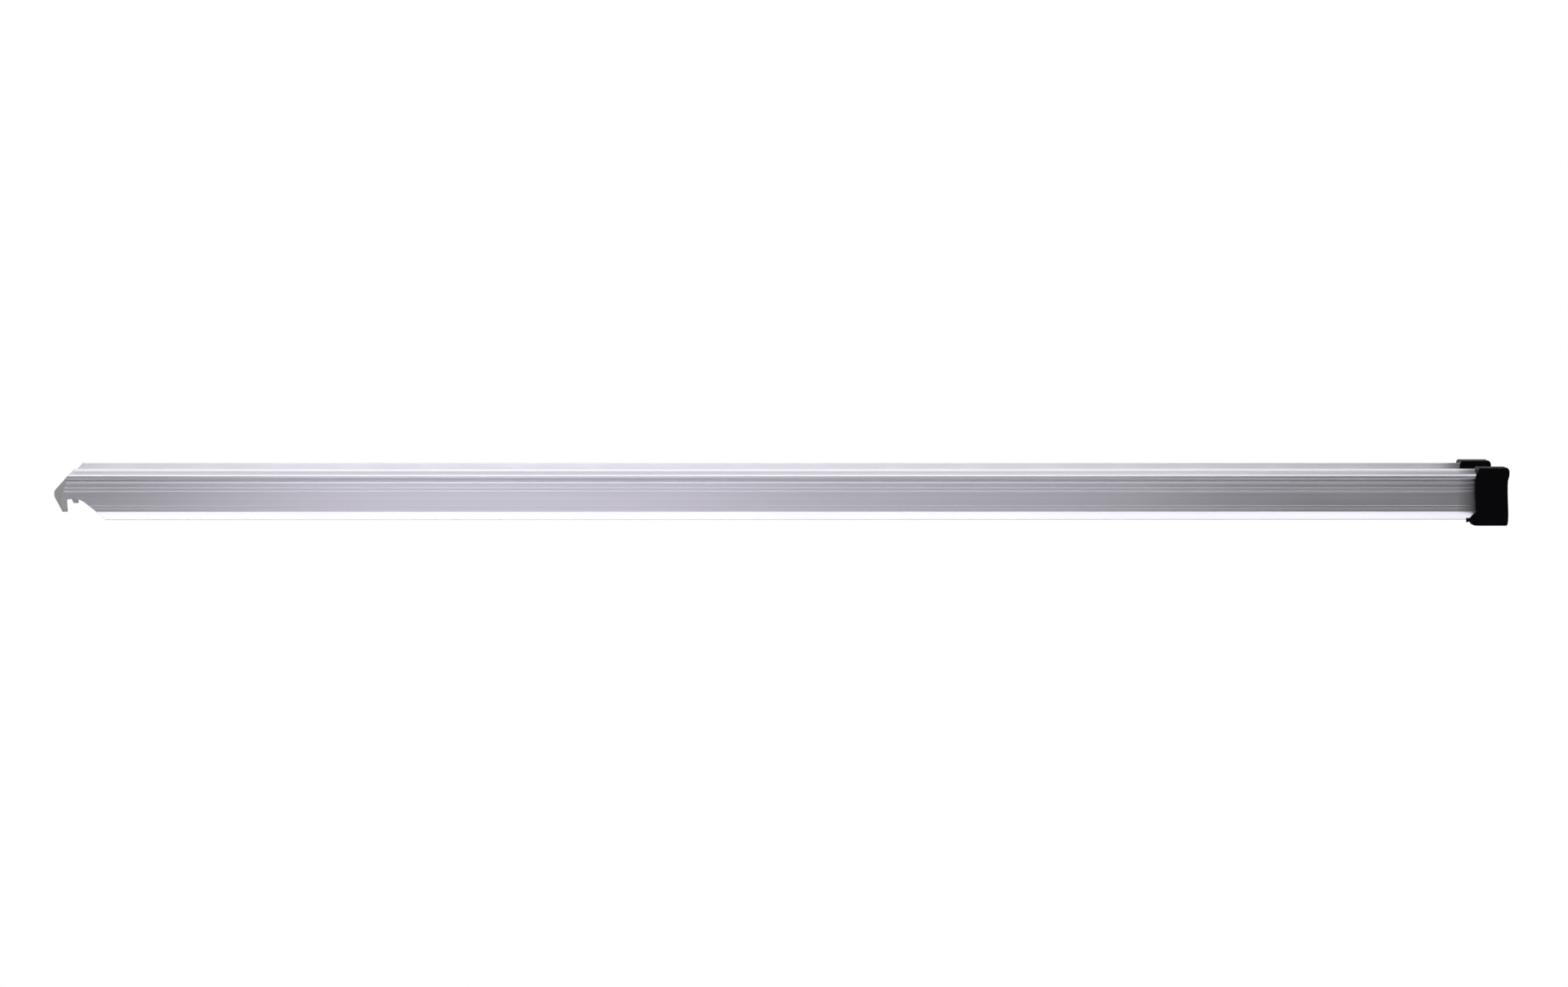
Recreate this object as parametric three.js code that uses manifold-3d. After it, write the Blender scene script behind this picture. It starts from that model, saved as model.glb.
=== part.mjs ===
// A hook-on aluminium loading ramp: two mirrored side rails joined by serrated rungs, with a moulded
// shoe screwed to the ground end of each rail. The hook at the top end is cut from the rail itself.
// Millimetres. +X runs from the hooks to the shoes, +Y across the ramp to its right rail, +Z up.
// The origin is on the ground under the middle of the ramp, which lies flat.
import * as THREE from 'three';
import { mergeVertices } from 'three/addons/utils/BufferGeometryUtils.js';
import Module from 'manifold-3d';

const wasm = await Module();
wasm.setup();

// Driving dimensions
const RAMP_LENGTH = 2000;
const RAMP_WIDTH = 200;
const GAP = 0.3; // between pieces that touch
const HALF_LENGTH = RAMP_LENGTH / 2;

// Rail section: u is measured out from the web's outer face, v up from the rail's underside.
const RAIL_HEIGHT = 68;
const WEB = 3.5;
const FLANGE = 3.5;
const INNER_REACH = 23; // the flanges and the lip, inwards from the web's outer face
const LIP_HEIGHT = 9.5;
const LIP_THICKNESS = 2.5;
const LIP_TILT = 1; // how far the lip's inner face leans outwards at its top
const RIDGE_WIDTH = 3.2; // the ridge along the top's inner edge
const RIDGE_HEIGHT = 2.2;
const TOE_REACH = 7.5;
const TOE_TOP = 1.2;
const TOE_ROOT = 10.5; // where the sloping toe meets the web
const BEAD_REACH = 7;
const BEAD_BOTTOM = 56.6;
const BEAD_TOP = 62.1;
const TOP_UNDERSIDE = 60;
const COVE_BOTTOM = 53.6;
// Shallow ribs rolled along the web's outer face, and two fine grooves under them
const RIBS = [
  { low: 37.2, high: 39.4, height: 0.5 },
  { low: 41.6, high: 44.2, height: 0.6 },
  { low: 48.6, high: 52.8, height: 0.9 },
];
const RIB_SLOPE = 0.5;
const GROOVES = [15.2, 19];
const GROOVE_HALF = 0.5;
const GROOVE_DEPTH = 0.3;

// Hook end, as seen from the side
const BEVEL_ANGLE = THREE.MathUtils.degToRad(48);
const BEVEL_TOP = 25.6; // from the nose to where the bevel meets the rail's top
const NOSE_RADIUS = 7;
const TAIL_LEAN = THREE.MathUtils.degToRad(27.7); // the tail's outer edge, from upright
const TAIL_TIP = 10.8; // height of the tail's tip above the rail's underside
const TAIL_OUTER = 9.7; // from the nose to the foot of the tail's outer edge
const TAIL_INNER = 17; // from the nose to the tail's inner edge
const TAIL_ROUND = 2.4;
const NOTCH_RADIUS = 26;
const NOTCH_CENTRE = { along: 25.7, up: 2.5 }; // from the nose and from the underside
const FLANK_ANGLE = THREE.MathUtils.degToRad(38.5);

// Shoe
const SHOE_LENGTH = 48;
const SHOE_TOP = 3.5; // above the rail
const SOLE = 8.5; // under the rail, so also the rail's height above the ground
const SHOE_WAIST = 11.4; // outer face, from the web's outer face
const SHOE_BULGE = 13;
const SHOE_INNER = INNER_REACH + 4; // inner face, from the web's outer face
const SHOE_END_WALL = 7;
const CAVITY_GAP = 0.4;
const TONGUE_LENGTH = 14;
const TONGUE_THICKNESS = 3.6;

// Screws that hold each shoe to the rail's bottom flange
const SCREW_OFFSETS = [16, 34]; // from the mouth of the shoe
const SCREW_U = -12;
const SCREW_HEAD_RADIUS = 4.5;
const SCREW_HEAD_HEIGHT = 2.4;
const SCREW_SHANK_RADIUS = 2.4;
const SCREW_LENGTH = 13;
const SCREW_RECESS = 3.5; // from the sole up to the underside of the head's seat

// Rungs
const RUNG_COUNT = 18;
const FIRST_RUNG = 82; // from the nose to the first rung's middle
const RUNG_PITCH = 108;
const RUNG_WIDTH = 30;
const RUNG_BOTTOM = 31;
const RUNG_HEIGHT = 22;
const RUNG_WALL = 2.4;
const TOOTH_COUNT = 5;
const TOOTH_HEIGHT = 2;
const RUNG_CORNER = 1.5;

const WEB_FACE = RAMP_WIDTH / 2 - SHOE_BULGE; // the web's outer face, from the middle of the ramp
const RAIL_END = HALF_LENGTH - SHOE_END_WALL - GAP;
const MOUTH = HALF_LENGTH - SHOE_LENGTH;

// ---- Geometry helpers ----

function solidFrom(geometry) {
  const bare = geometry.index ? geometry.toNonIndexed() : geometry.clone();
  bare.deleteAttribute('normal');
  bare.deleteAttribute('uv');
  const merged = mergeVertices(bare, 1e-4);
  return new wasm.Manifold(new wasm.Mesh({
    numProp: 3,
    vertProperties: merged.attributes.position.array,
    triVerts: new Uint32Array(merged.index.array),
  }));
}

function geometryFrom(solid) {
  const made = solid.getMesh();
  const geometry = new THREE.BufferGeometry();
  geometry.setAttribute('position', new THREE.BufferAttribute(new Float32Array(made.vertProperties), 3));
  geometry.setIndex(new THREE.BufferAttribute(new Uint32Array(made.triVerts), 1));
  const flat = geometry.toNonIndexed();
  flat.computeVertexNormals();
  return flat;
}

// Extrudes a section drawn in (u, v) along the ramp, u towards the right-hand side of the ramp.
function alongRamp(shape, start, end, curveSegments = 4) {
  const geometry = new THREE.ExtrudeGeometry(shape, { depth: end - start, bevelEnabled: false, curveSegments });
  return geometry.rotateX(Math.PI / 2).rotateZ(Math.PI / 2).translate(start, WEB_FACE, SOLE);
}

// Extrudes an outline drawn as seen from the side, in (along, up), from the low to the high y.
function acrossRamp(shape, low, high, curveSegments = 6) {
  const geometry = new THREE.ExtrudeGeometry(shape, { depth: high - low, bevelEnabled: false, curveSegments });
  return geometry.rotateX(Math.PI / 2).translate(0, high, SOLE);
}

// The same piece on the other side of the ramp.
function mirrored(geometry) {
  const copy = geometry.clone();
  const position = copy.attributes.position;
  for (let i = 0; i < position.count; i += 3) {
    for (let k = 0; k < 3; k += 1) {
      position.setY(i + k, -position.getY(i + k));
    }
    const second = new THREE.Vector3().fromBufferAttribute(position, i + 1);
    const third = new THREE.Vector3().fromBufferAttribute(position, i + 2);
    position.setXYZ(i + 1, third.x, third.y, third.z);
    position.setXYZ(i + 2, second.x, second.y, second.z);
  }
  copy.computeVertexNormals();
  return copy;
}

// ---- Side rail ----

function railSection() {
  const s = new THREE.Shape();
  s.moveTo(-INNER_REACH, 0.6);
  s.lineTo(-INNER_REACH + 0.6, 0);
  s.lineTo(TOE_REACH - 0.6, 0);
  s.lineTo(TOE_REACH, 0.5);
  s.lineTo(TOE_REACH, TOE_TOP);
  s.lineTo(TOE_REACH - 0.7, TOE_TOP + 0.9);
  s.lineTo(0.9, TOE_ROOT - 1.3);
  s.quadraticCurveTo(0, TOE_ROOT, 0, TOE_ROOT + 1);
  for (const v of GROOVES) {
    s.lineTo(0, v - GROOVE_HALF);
    s.lineTo(-GROOVE_DEPTH, v);
    s.lineTo(0, v + GROOVE_HALF);
  }
  for (const rib of RIBS) {
    s.lineTo(0, rib.low);
    s.lineTo(rib.height, rib.low + RIB_SLOPE);
    s.lineTo(rib.height, rib.high - RIB_SLOPE);
    s.lineTo(0, rib.high);
  }
  s.lineTo(0, COVE_BOTTOM);
  s.quadraticCurveTo(0.4, BEAD_BOTTOM - 1, BEAD_REACH - 2, BEAD_BOTTOM - 0.6);
  s.quadraticCurveTo(BEAD_REACH, BEAD_BOTTOM - 0.4, BEAD_REACH, BEAD_BOTTOM + 1.2);
  s.quadraticCurveTo(BEAD_REACH - 0.4, BEAD_TOP, BEAD_REACH - 3, BEAD_TOP);
  const ridgeTop = -INNER_REACH + RIDGE_WIDTH;
  const lipTop = -INNER_REACH + LIP_TILT;
  s.lineTo(ridgeTop + RIDGE_HEIGHT, RAIL_HEIGHT - RIDGE_HEIGHT);
  s.lineTo(ridgeTop + 0.5, RAIL_HEIGHT - 0.4);
  s.lineTo(ridgeTop - 0.4, RAIL_HEIGHT);
  s.lineTo(lipTop + 1, RAIL_HEIGHT);
  s.quadraticCurveTo(lipTop, RAIL_HEIGHT, lipTop, RAIL_HEIGHT - 1.2);
  s.lineTo(-INNER_REACH, RAIL_HEIGHT - LIP_HEIGHT);
  s.lineTo(-INNER_REACH + LIP_THICKNESS, RAIL_HEIGHT - LIP_HEIGHT);
  s.lineTo(-INNER_REACH + LIP_THICKNESS, TOP_UNDERSIDE);
  s.lineTo(-WEB - 3, TOP_UNDERSIDE);
  s.quadraticCurveTo(-WEB, TOP_UNDERSIDE, -WEB, TOP_UNDERSIDE - 3);
  s.lineTo(-WEB, FLANGE + 2.5);
  s.quadraticCurveTo(-WEB, FLANGE, -WEB - 2.5, FLANGE);
  s.lineTo(-INNER_REACH, FLANGE);
  s.closePath();
  return s;
}

// The rail as seen from the side. The bevel and the tail's outer edge run into the rounded nose
// along its tangents, and the notch is an arc that runs on along its tangent as the flank.
function railOutline() {
  const nose = -HALF_LENGTH;
  const noseX = nose + NOSE_RADIUS;
  const noseHigh = RAIL_HEIGHT - (BEVEL_TOP - NOSE_RADIUS) * Math.tan(BEVEL_ANGLE)
    - NOSE_RADIUS / Math.cos(BEVEL_ANGLE);
  const tailFoot = TAIL_TIP + TAIL_ROUND;
  const noseLow = tailFoot + (NOSE_RADIUS * (1 - Math.cos(TAIL_LEAN)) + TAIL_OUTER * Math.cos(TAIL_LEAN))
    / Math.sin(TAIL_LEAN);
  const notchX = nose + NOTCH_CENTRE.along;
  const flankX = notchX + NOTCH_RADIUS * Math.sin(FLANK_ANGLE);
  const flankV = NOTCH_CENTRE.up + NOTCH_RADIUS * Math.cos(FLANK_ANGLE);
  const tailX = nose + TAIL_INNER;
  const arcStart = Math.acos((tailX - notchX) / NOTCH_RADIUS);
  const s = new THREE.Shape();
  s.moveTo(flankX + flankV / Math.tan(FLANK_ANGLE), 0);
  s.lineTo(RAIL_END, 0);
  s.lineTo(RAIL_END, RAIL_HEIGHT);
  s.lineTo(nose + BEVEL_TOP, RAIL_HEIGHT);
  s.absarc(noseX, noseHigh, NOSE_RADIUS, Math.PI / 2 + BEVEL_ANGLE, Math.PI, false);
  s.absarc(noseX, noseLow, NOSE_RADIUS, Math.PI, Math.PI + TAIL_LEAN, false);
  s.lineTo(nose + TAIL_OUTER, tailFoot);
  s.quadraticCurveTo(nose + TAIL_OUTER + 0.9, TAIL_TIP, nose + TAIL_OUTER + TAIL_ROUND, TAIL_TIP);
  s.lineTo(tailX - TAIL_ROUND * 0.7, TAIL_TIP);
  s.quadraticCurveTo(tailX, TAIL_TIP, tailX, TAIL_TIP + TAIL_ROUND);
  s.absarc(notchX, NOTCH_CENTRE.up, NOTCH_RADIUS, arcStart, Math.PI / 2 - FLANK_ANGLE, true);
  s.closePath();
  return s;
}

function cylinder(radius, x, y, low, high, segments = 16) {
  const geometry = new THREE.CylinderGeometry(radius, radius, high - low, segments);
  return solidFrom(geometry.rotateX(Math.PI / 2).translate(x, y, (low + high) / 2));
}

const screwXs = SCREW_OFFSETS.map((offset) => MOUTH + offset);
const screwY = WEB_FACE + SCREW_U;

function rightRail() {
  const bar = solidFrom(alongRamp(railSection(), -HALF_LENGTH - 1, RAIL_END + 1, 3));
  const outline = solidFrom(acrossRamp(railOutline(), 0, RAMP_WIDTH, 8));
  const holes = screwXs.map((x) => cylinder(SCREW_SHANK_RADIUS + GAP, x, screwY, SOLE - 1, SOLE + FLANGE + 1));
  return geometryFrom(holes.reduce((rail, hole) => rail.subtract(hole), bar.intersect(outline)));
}

// ---- Shoe ----

// The section of the shoe: a roll over the rail's bead, a waist, and a foot that flares at the sole.
function shoeSection() {
  const top = RAIL_HEIGHT + SHOE_TOP;
  const s = new THREE.Shape();
  s.moveTo(-SHOE_INNER + 1.5, -SOLE);
  s.lineTo(SHOE_BULGE - 2.2, -SOLE);
  s.lineTo(SHOE_BULGE - 0.4, -SOLE + 3);
  s.quadraticCurveTo(SHOE_BULGE - 0.4, -SOLE + 6, SHOE_WAIST, 2);
  s.lineTo(SHOE_WAIST, COVE_BOTTOM);
  s.quadraticCurveTo(SHOE_WAIST, BEAD_BOTTOM - 1, SHOE_BULGE, BEAD_BOTTOM + 3);
  s.lineTo(SHOE_BULGE, top - 5);
  s.quadraticCurveTo(SHOE_BULGE, top, SHOE_BULGE - 4, top);
  s.lineTo(-SHOE_INNER + 3, top);
  s.quadraticCurveTo(-SHOE_INNER, top, -SHOE_INNER, top - 3);
  s.lineTo(-SHOE_INNER, -SOLE + 1.5);
  s.closePath();
  return s;
}

// The shoe as seen from the side: a wavy mouth, a tongue under the rail, and a closed end that
// swells at the top and at the foot.
function shoeOutline() {
  const top = RAIL_HEIGHT + SHOE_TOP;
  const end = HALF_LENGTH;
  const tongue = MOUTH - TONGUE_LENGTH;
  const s = new THREE.Shape();
  s.moveTo(MOUTH + 2.5, -SOLE);
  s.lineTo(end - 3, -SOLE);
  s.quadraticCurveTo(end - 0.8, -SOLE, end - 1, 0);
  s.lineTo(end - 3, 40);
  s.lineTo(end - 2.5, 56);
  s.quadraticCurveTo(end, 60, end, 63.5);
  s.quadraticCurveTo(end, top - 3, end - 4, top);
  s.lineTo(MOUTH + 4.5, top);
  s.quadraticCurveTo(MOUTH + 0.5, 60, MOUTH, 38);
  s.quadraticCurveTo(MOUTH, 20, MOUTH + 2.8, 11);
  s.lineTo(MOUTH + 0.2, 8.6);
  s.lineTo(tongue + 5, 1.6);
  s.quadraticCurveTo(tongue, 1.4, tongue, -1);
  s.quadraticCurveTo(tongue, -TONGUE_THICKNESS + 0.6, tongue + 5, -TONGUE_THICKNESS);
  s.closePath();
  return s;
}

// The pocket that the rail's end slides into.
function shoePocket() {
  const s = new THREE.Shape();
  s.moveTo(-INNER_REACH - CAVITY_GAP, -CAVITY_GAP);
  s.lineTo(TOE_REACH + CAVITY_GAP, -CAVITY_GAP);
  s.lineTo(TOE_REACH + CAVITY_GAP, RAIL_HEIGHT + CAVITY_GAP);
  s.lineTo(-INNER_REACH - CAVITY_GAP, RAIL_HEIGHT + CAVITY_GAP);
  s.closePath();
  return s;
}

function rightShoe() {
  const block = solidFrom(alongRamp(shoeSection(), MOUTH - TONGUE_LENGTH - 1, HALF_LENGTH + 1, 3));
  const outline = solidFrom(acrossRamp(shoeOutline(), 0, RAMP_WIDTH, 4));
  const pocket = solidFrom(alongRamp(shoePocket(), MOUTH - TONGUE_LENGTH - 2, RAIL_END + GAP));
  let shoe = block.intersect(outline).subtract(pocket);
  for (const x of screwXs) {
    shoe = shoe.subtract(cylinder(SCREW_SHANK_RADIUS + GAP, x, screwY, -1, SOLE + 1));
    shoe = shoe.subtract(cylinder(SCREW_HEAD_RADIUS + GAP, x, screwY, -1, SCREW_RECESS + GAP));
  }
  return geometryFrom(shoe);
}

// A pan-head screw, head down, driven up through the sole into the rail's bottom flange.
function shoeScrew() {
  const seat = SCREW_RECESS;
  const profile = [
    [0, seat - SCREW_HEAD_HEIGHT],
    [SCREW_HEAD_RADIUS * 0.7, seat - SCREW_HEAD_HEIGHT],
    [SCREW_HEAD_RADIUS, seat - SCREW_HEAD_HEIGHT * 0.5],
    [SCREW_HEAD_RADIUS, seat],
    [SCREW_SHANK_RADIUS, seat],
    [SCREW_SHANK_RADIUS, seat + SCREW_LENGTH - 3],
    [0, seat + SCREW_LENGTH],
  ];
  const points = profile.map(([radius, height]) => new THREE.Vector2(radius, height));
  return new THREE.LatheGeometry(points, 16).rotateX(Math.PI / 2);
}

// ---- Rung ----

// A hollow rung with a row of teeth along its tread.
function rungShape() {
  const half = RUNG_WIDTH / 2;
  const root = RUNG_HEIGHT - TOOTH_HEIGHT;
  const toothPitch = (RUNG_WIDTH - 2 * RUNG_CORNER) / TOOTH_COUNT;
  const s = new THREE.Shape();
  s.moveTo(-half + RUNG_CORNER, 0);
  s.lineTo(half - RUNG_CORNER, 0);
  s.lineTo(half, RUNG_CORNER);
  s.lineTo(half, root - RUNG_CORNER);
  s.lineTo(half - RUNG_CORNER, root);
  for (let tooth = 0; tooth < TOOTH_COUNT; tooth += 1) {
    const start = half - RUNG_CORNER - tooth * toothPitch;
    s.lineTo(start - toothPitch * 0.35, RUNG_HEIGHT);
    s.lineTo(start - toothPitch * 0.65, RUNG_HEIGHT);
    s.lineTo(start - toothPitch, root);
  }
  s.lineTo(-half, root - RUNG_CORNER);
  s.lineTo(-half, RUNG_CORNER);
  s.closePath();
  const hole = new THREE.Path();
  hole.moveTo(-half + RUNG_WALL, RUNG_WALL);
  hole.lineTo(-half + RUNG_WALL, root - RUNG_WALL);
  hole.lineTo(half - RUNG_WALL, root - RUNG_WALL);
  hole.lineTo(half - RUNG_WALL, RUNG_WALL);
  hole.closePath();
  s.holes.push(hole);
  return s;
}

// ---- Assembly ----

const materials = {
  rail: new THREE.MeshStandardMaterial({ color: 0xb4b2ba, roughness: 0.34, metalness: 1 }),
  rung: new THREE.MeshStandardMaterial({ color: 0xb8b8bc, roughness: 0.42, metalness: 1 }),
  shoe: new THREE.MeshStandardMaterial({ color: 0x08080a, roughness: 0.55, metalness: 0 }),
  screw: new THREE.MeshStandardMaterial({ color: 0x9a9a9c, roughness: 0.3, metalness: 1 }),
};

const ramp = new THREE.Group();
ramp.name = 'loading_ramp';

function add(name, geometry, material) {
  const mesh = new THREE.Mesh(geometry, material);
  mesh.name = name;
  ramp.add(mesh);
  return mesh;
}

const rail = rightRail();
add('side_rail_right', rail, materials.rail);
add('side_rail_left', mirrored(rail), materials.rail);

const shoe = rightShoe();
add('end_shoe_right', shoe, materials.shoe);
add('end_shoe_left', mirrored(shoe), materials.shoe);

const rungEnd = WEB_FACE - WEB - GAP;
for (let i = 0; i < RUNG_COUNT; i += 1) {
  const rung = add(`rung_${String(i + 1).padStart(2, '0')}`, acrossRamp(rungShape(), -rungEnd, rungEnd), materials.rung);
  rung.position.set(-HALF_LENGTH + FIRST_RUNG + i * RUNG_PITCH, 0, RUNG_BOTTOM);
}

for (const [side, sign] of [['right', 1], ['left', -1]]) {
  screwXs.forEach((x, i) => {
    add(`shoe_screw_${side}_${i + 1}`, shoeScrew(), materials.screw).position.set(x, sign * screwY, 0);
  });
}

export default ramp;
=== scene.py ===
import math

import bmesh
import bpy
from mathutils import Matrix, Vector


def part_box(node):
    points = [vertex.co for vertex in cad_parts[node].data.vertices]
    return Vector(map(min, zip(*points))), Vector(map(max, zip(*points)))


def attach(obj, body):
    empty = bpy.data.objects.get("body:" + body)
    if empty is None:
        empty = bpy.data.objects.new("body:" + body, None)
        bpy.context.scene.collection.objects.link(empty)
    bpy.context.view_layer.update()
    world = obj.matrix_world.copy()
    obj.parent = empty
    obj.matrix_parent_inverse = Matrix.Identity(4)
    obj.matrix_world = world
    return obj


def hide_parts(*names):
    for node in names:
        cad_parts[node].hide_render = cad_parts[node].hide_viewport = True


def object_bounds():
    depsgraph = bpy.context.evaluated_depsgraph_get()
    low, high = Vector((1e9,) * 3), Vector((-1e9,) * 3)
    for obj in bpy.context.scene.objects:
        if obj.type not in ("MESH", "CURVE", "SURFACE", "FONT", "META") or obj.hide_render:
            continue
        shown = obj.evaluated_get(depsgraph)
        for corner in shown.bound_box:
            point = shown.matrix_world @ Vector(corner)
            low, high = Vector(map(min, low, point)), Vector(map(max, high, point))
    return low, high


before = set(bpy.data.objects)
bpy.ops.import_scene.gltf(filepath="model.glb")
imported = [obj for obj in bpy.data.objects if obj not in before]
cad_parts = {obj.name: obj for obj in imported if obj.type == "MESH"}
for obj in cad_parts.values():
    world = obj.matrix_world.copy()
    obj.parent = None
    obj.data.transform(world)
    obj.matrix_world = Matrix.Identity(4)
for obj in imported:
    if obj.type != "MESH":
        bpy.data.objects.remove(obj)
cad_low, cad_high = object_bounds()

MM = 0.001
ARC_STEP = math.radians(12)
FILLET_SHARE = 0.48  # the most of an edge that the arc at one of its ends may take
SHARP_REACH = 1e-4
SIDES = {"left": -1, "right": 1}
CUT = 1  # the material index of the faces that a cut leaves

# ---- Places, from the frame, in millimetres ----

rail_low, rail_high = (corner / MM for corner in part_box("side_rail_right"))
shoe_low, shoe_high = (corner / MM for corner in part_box("end_shoe_right"))
rung_low, rung_high = (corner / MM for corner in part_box("rung_01"))
rung_names = sorted(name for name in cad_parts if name.startswith("rung_"))
screw_names = sorted(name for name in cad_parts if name.startswith("shoe_screw_right"))

TOE_REACH = 7.5  # how far the rail's toe stands out from the web
WEB = 3.5
INNER_REACH = 23  # how far the flanges reach in from the web's outer face
NOSE = rail_low.x
RAIL_END = rail_high.x
RAIL_FLOOR = rail_low.z
RAIL_HEIGHT = rail_high.z - rail_low.z
WEB_FACE = rail_high.y - TOE_REACH
SHOE_END = shoe_high.x
SHOE_LENGTH = 48
MOUTH = SHOE_END - SHOE_LENGTH
RUNG_WIDTH = rung_high.x - rung_low.x
RUNG_HEIGHT = rung_high.z - rung_low.z
RUNG_END = rung_high.y


# ---- Mesh helpers ----

def rounded(corners, step=ARC_STEP):
    """A closed outline whose corners (a, b, radius) are turned into arcs. Where two corners are close,
    a radius is cut down to fit, and a corner with next to none stays sharp."""
    points = []
    for i, (a, b, radius) in enumerate(corners):
        corner = Vector((a, b))
        back = Vector(corners[i - 1][:2]) - corner
        ahead = Vector(corners[(i + 1) % len(corners)][:2]) - corner
        turn = math.pi - back.angle(ahead)
        reach = min(radius * math.tan(turn / 2), FILLET_SHARE * back.length, FILLET_SHARE * ahead.length)
        if reach < SHARP_REACH:
            points.append(corner)
            continue
        start = corner + back.normalized() * reach
        end = corner + ahead.normalized() * reach
        bisector = (back.normalized() + ahead.normalized()).normalized()
        centre = corner + bisector * (reach / math.sin(turn / 2))
        spoke = start - centre
        sweep = spoke.angle_signed(end - centre)
        steps = max(1, math.ceil(abs(sweep) / step))
        for k in range(steps + 1):
            points.append(centre + Matrix.Rotation(-sweep * k / steps, 2) @ spoke)
    return points


def link(name, mesh, materials=()):
    piece = bpy.data.objects.new(name, mesh)
    bpy.context.scene.collection.objects.link(piece)
    for material in materials:
        mesh.materials.append(material)
    return piece


def solid(name, points, faces, materials=(), slot=0):
    """A closed piece from points in millimetres, with its faces turned outwards."""
    mesh = bpy.data.meshes.new(name)
    mesh.from_pydata([Vector(p) * MM for p in points], [], faces)
    bm = bmesh.new()
    bm.from_mesh(mesh)
    bmesh.ops.recalc_face_normals(bm, faces=bm.faces)
    bm.to_mesh(mesh)
    bm.free()
    piece = link(name, mesh, materials)
    for face in mesh.polygons:
        face.material_index = slot
    return piece


def prism(name, outline, low, high, place, materials=(), slot=0):
    """Extrudes a closed outline of (a, b) from low to high; place(a, b, c) gives each vertex."""
    count = len(outline)
    points = [place(a, b, low) for a, b in outline] + [place(a, b, high) for a, b in outline]
    faces = [tuple(range(count)), tuple(range(2 * count - 1, count - 1, -1))]
    for i in range(count):
        j = (i + 1) % count
        faces.append((i, j, j + count, i + count))
    return solid(name, points, faces, materials, slot)


def loft(name, rings, materials=(), slot=0):
    """A closed skin over rings of equally many points, with its first and last ring filled."""
    count = len(rings[0])
    points = [p for ring in rings for p in ring]
    faces = [tuple(range(count)), tuple(range(len(points) - 1, len(points) - count - 1, -1))]
    for k in range(len(rings) - 1):
        for i in range(count):
            j = (i + 1) % count
            faces.append((k * count + i, k * count + j, (k + 1) * count + j, (k + 1) * count + i))
    return solid(name, points, faces, materials, slot)


def lattice(name, sizes, place, materials=()):
    """The closed skin of a box of control points; place(i, j, k) gives each one."""
    index, points, faces = {}, [], []

    def at(i, j, k):
        key = (i, j, k)
        if key not in index:
            index[key] = len(points)
            points.append(place(i, j, k))
        return index[key]

    for axis in range(3):
        first, second = [a for a in range(3) if a != axis]
        for level in (0, sizes[axis] - 1):
            for p in range(sizes[first] - 1):
                for q in range(sizes[second] - 1):
                    corner = []
                    for dp, dq in ((0, 0), (1, 0), (1, 1), (0, 1)):
                        key = [0, 0, 0]
                        key[axis], key[first], key[second] = level, p + dp, q + dq
                        corner.append(at(*key))
                    faces.append(tuple(corner))
    return solid(name, points, faces, materials)


def apply_modifiers(piece):
    depsgraph = bpy.context.evaluated_depsgraph_get()
    made = bpy.data.meshes.new_from_object(piece.evaluated_get(depsgraph))
    piece.modifiers.clear()
    piece.data = made


def subdivide(piece, levels):
    modifier = piece.modifiers.new("subdivide", "SUBSURF")
    modifier.levels = levels
    modifier.render_levels = levels
    apply_modifiers(piece)


def combine(piece, other, operation="DIFFERENCE"):
    """A boolean with another solid, which is used up. Each face keeps its own material index."""
    modifier = piece.modifiers.new("combine", "BOOLEAN")
    modifier.operation = operation
    modifier.solver = "EXACT"
    modifier.object = other
    apply_modifiers(piece)
    bpy.data.objects.remove(other)


def ease_cuts(piece, width, segments=2):
    """Rounds the edges where a cut, whose faces have material index CUT, meets the surface. The rounded
    strips get the cut's material."""
    bm = bmesh.new()
    bm.from_mesh(piece.data)
    edges = []
    for edge in bm.edges:
        if len({face.material_index for face in edge.link_faces}) == 2:
            edges.append(edge)
    bmesh.ops.bevel(bm, geom=edges, offset=width * MM, segments=segments, profile=0.5,
                    affect="EDGES", clamp_overlap=False, material=CUT)
    bm.to_mesh(piece.data)
    bm.free()


def finish_surface(piece, sharp_degrees=35):
    """Smooth shading over rounds, crisp at sharp edges, and level over the large faces."""
    for face in piece.data.polygons:
        face.use_smooth = True
    piece.data.set_sharp_from_angle(angle=math.radians(sharp_degrees))
    weighted = piece.modifiers.new("weighted", "WEIGHTED_NORMAL")
    weighted.weight = 100
    weighted.keep_sharp = True


def mirrored(piece, name):
    """A copy on the other side of the ramp, with its faces turned outwards again."""
    mesh = piece.data.copy()
    bm = bmesh.new()
    bm.from_mesh(mesh)
    for vertex in bm.verts:
        vertex.co.y = -vertex.co.y
    bmesh.ops.reverse_faces(bm, faces=bm.faces)
    bm.to_mesh(mesh)
    bm.free()
    return link(name, mesh)


def settle(piece, slot, *nodes):
    """Rides the piece on the ramp and hides the CAD nodes it stands for. The slot is not used."""
    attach(piece, "root")
    if nodes:
        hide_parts(*nodes)
    return piece


def along(u, v, x):
    """A point of the right-hand side's section, at x along the ramp."""
    return (x, WEB_FACE + u, RAIL_FLOOR + v)


def across(x, v, y):
    """A point of an outline seen from the side, at y across the ramp."""
    return (x, y, RAIL_FLOOR + v)


def upright(x, y, z):
    """A point of an outline seen from above, at height z."""
    return (x, y, z)


# ---- Materials ----

def node(tree, kind, inputs=None, **settings):
    made = tree.nodes.new("ShaderNode" + kind)
    for name, value in settings.items():
        setattr(made, name, value)
    for socket, value in (inputs or {}).items():
        if isinstance(value, bpy.types.NodeSocket):
            tree.links.new(value, made.inputs[socket])
        else:
            made.inputs[socket].default_value = value
    return made


def new_material(name):
    material = bpy.data.materials.new(name)
    material.use_nodes = True
    tree = material.node_tree
    shader = tree.nodes["Principled BSDF"]
    place = node(tree, "TexCoord").outputs["Object"]
    return material, tree, shader, place


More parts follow.
